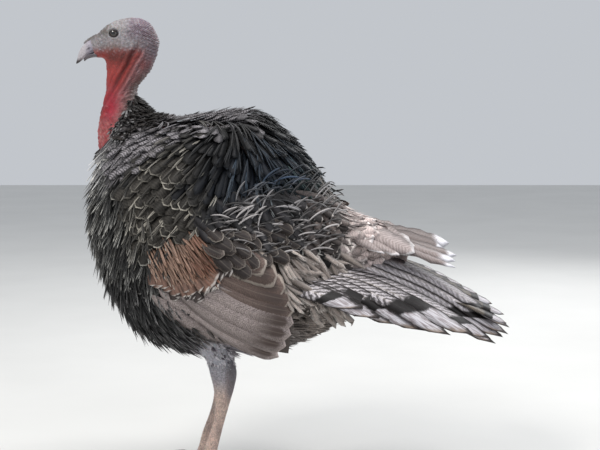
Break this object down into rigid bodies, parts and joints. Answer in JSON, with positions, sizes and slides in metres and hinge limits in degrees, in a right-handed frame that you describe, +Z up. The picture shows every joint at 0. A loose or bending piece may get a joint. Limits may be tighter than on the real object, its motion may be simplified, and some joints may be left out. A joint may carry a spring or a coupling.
{
  "type": "turkey",
  "caption": "Standing turkey of a grey-and-bronze farmyard kind, life size and still, with folded wings, bare head and neck, and a lowered half-spread tail.",
  "frame": {"origin": "on the floor under the middle of the bird's box, in its middle plane", "axes": "+Z up, -X the way the bird faces, -Y its left side"},
  "size_m": [0.7253, 0.3836, 0.7678],
  "materials": {
    "bare_skin": "bare wrinkled skin, blue-grey face and crown, red throat",
    "snood_skin": "soft fleshy skin",
    "bill_horn": "pale lilac-grey horn, darker at the hooked tip",
    "eye": "wet dark brown eye",
    "neck_feathers": "short dark grey feathers with fine bars",
    "breast_feathers": "black feathers with thin olive-grey edges",
    "body_feathers": "black to grey-edged feathers with a faint blue and green gloss",
    "wing_feathers": "rust patch on the wrist, stippled grey-brown flight feathers",
    "tail_feathers": "barred grey and black feathers with white tips",
    "covert_feathers": "pinkish buff feathers with pale edges",
    "thigh_down": "soft lilac-grey down",
    "leg_skin": "scaly skin, slate grey on the hock and pinkish tan below",
    "claw_horn": "dark horn"
  },
  "bodies": {
    "root": {"head": "bare_skin", "neck_upper": "bare_skin", "neck_lower": "neck_feathers", "breast": "breast_feathers", "trunk": "body_feathers", "rump": "body_feathers", "snood": "snood_skin", "bill_upper": "bill_horn", "bill_lower": "bill_horn", "eye_left": "eye", "eye_right": "eye", "tail": "tail_feathers", "tail_coverts": "covert_feathers", "wing_left": "wing_feathers", "thigh_left": "thigh_down", "shank_left": "leg_skin", "foot_left": "leg_skin", "claw_left_inner": "claw_horn", "claw_left_middle": "claw_horn", "claw_left_outer": "claw_horn", "claw_left_hind": "claw_horn", "wing_right": "wing_feathers", "thigh_right": "thigh_down", "shank_right": "leg_skin", "foot_right": "leg_skin", "claw_right_inner": "claw_horn", "claw_right_middle": "claw_horn", "claw_right_outer": "claw_horn", "claw_right_hind": "claw_horn"}
  },
  "joints": []
}
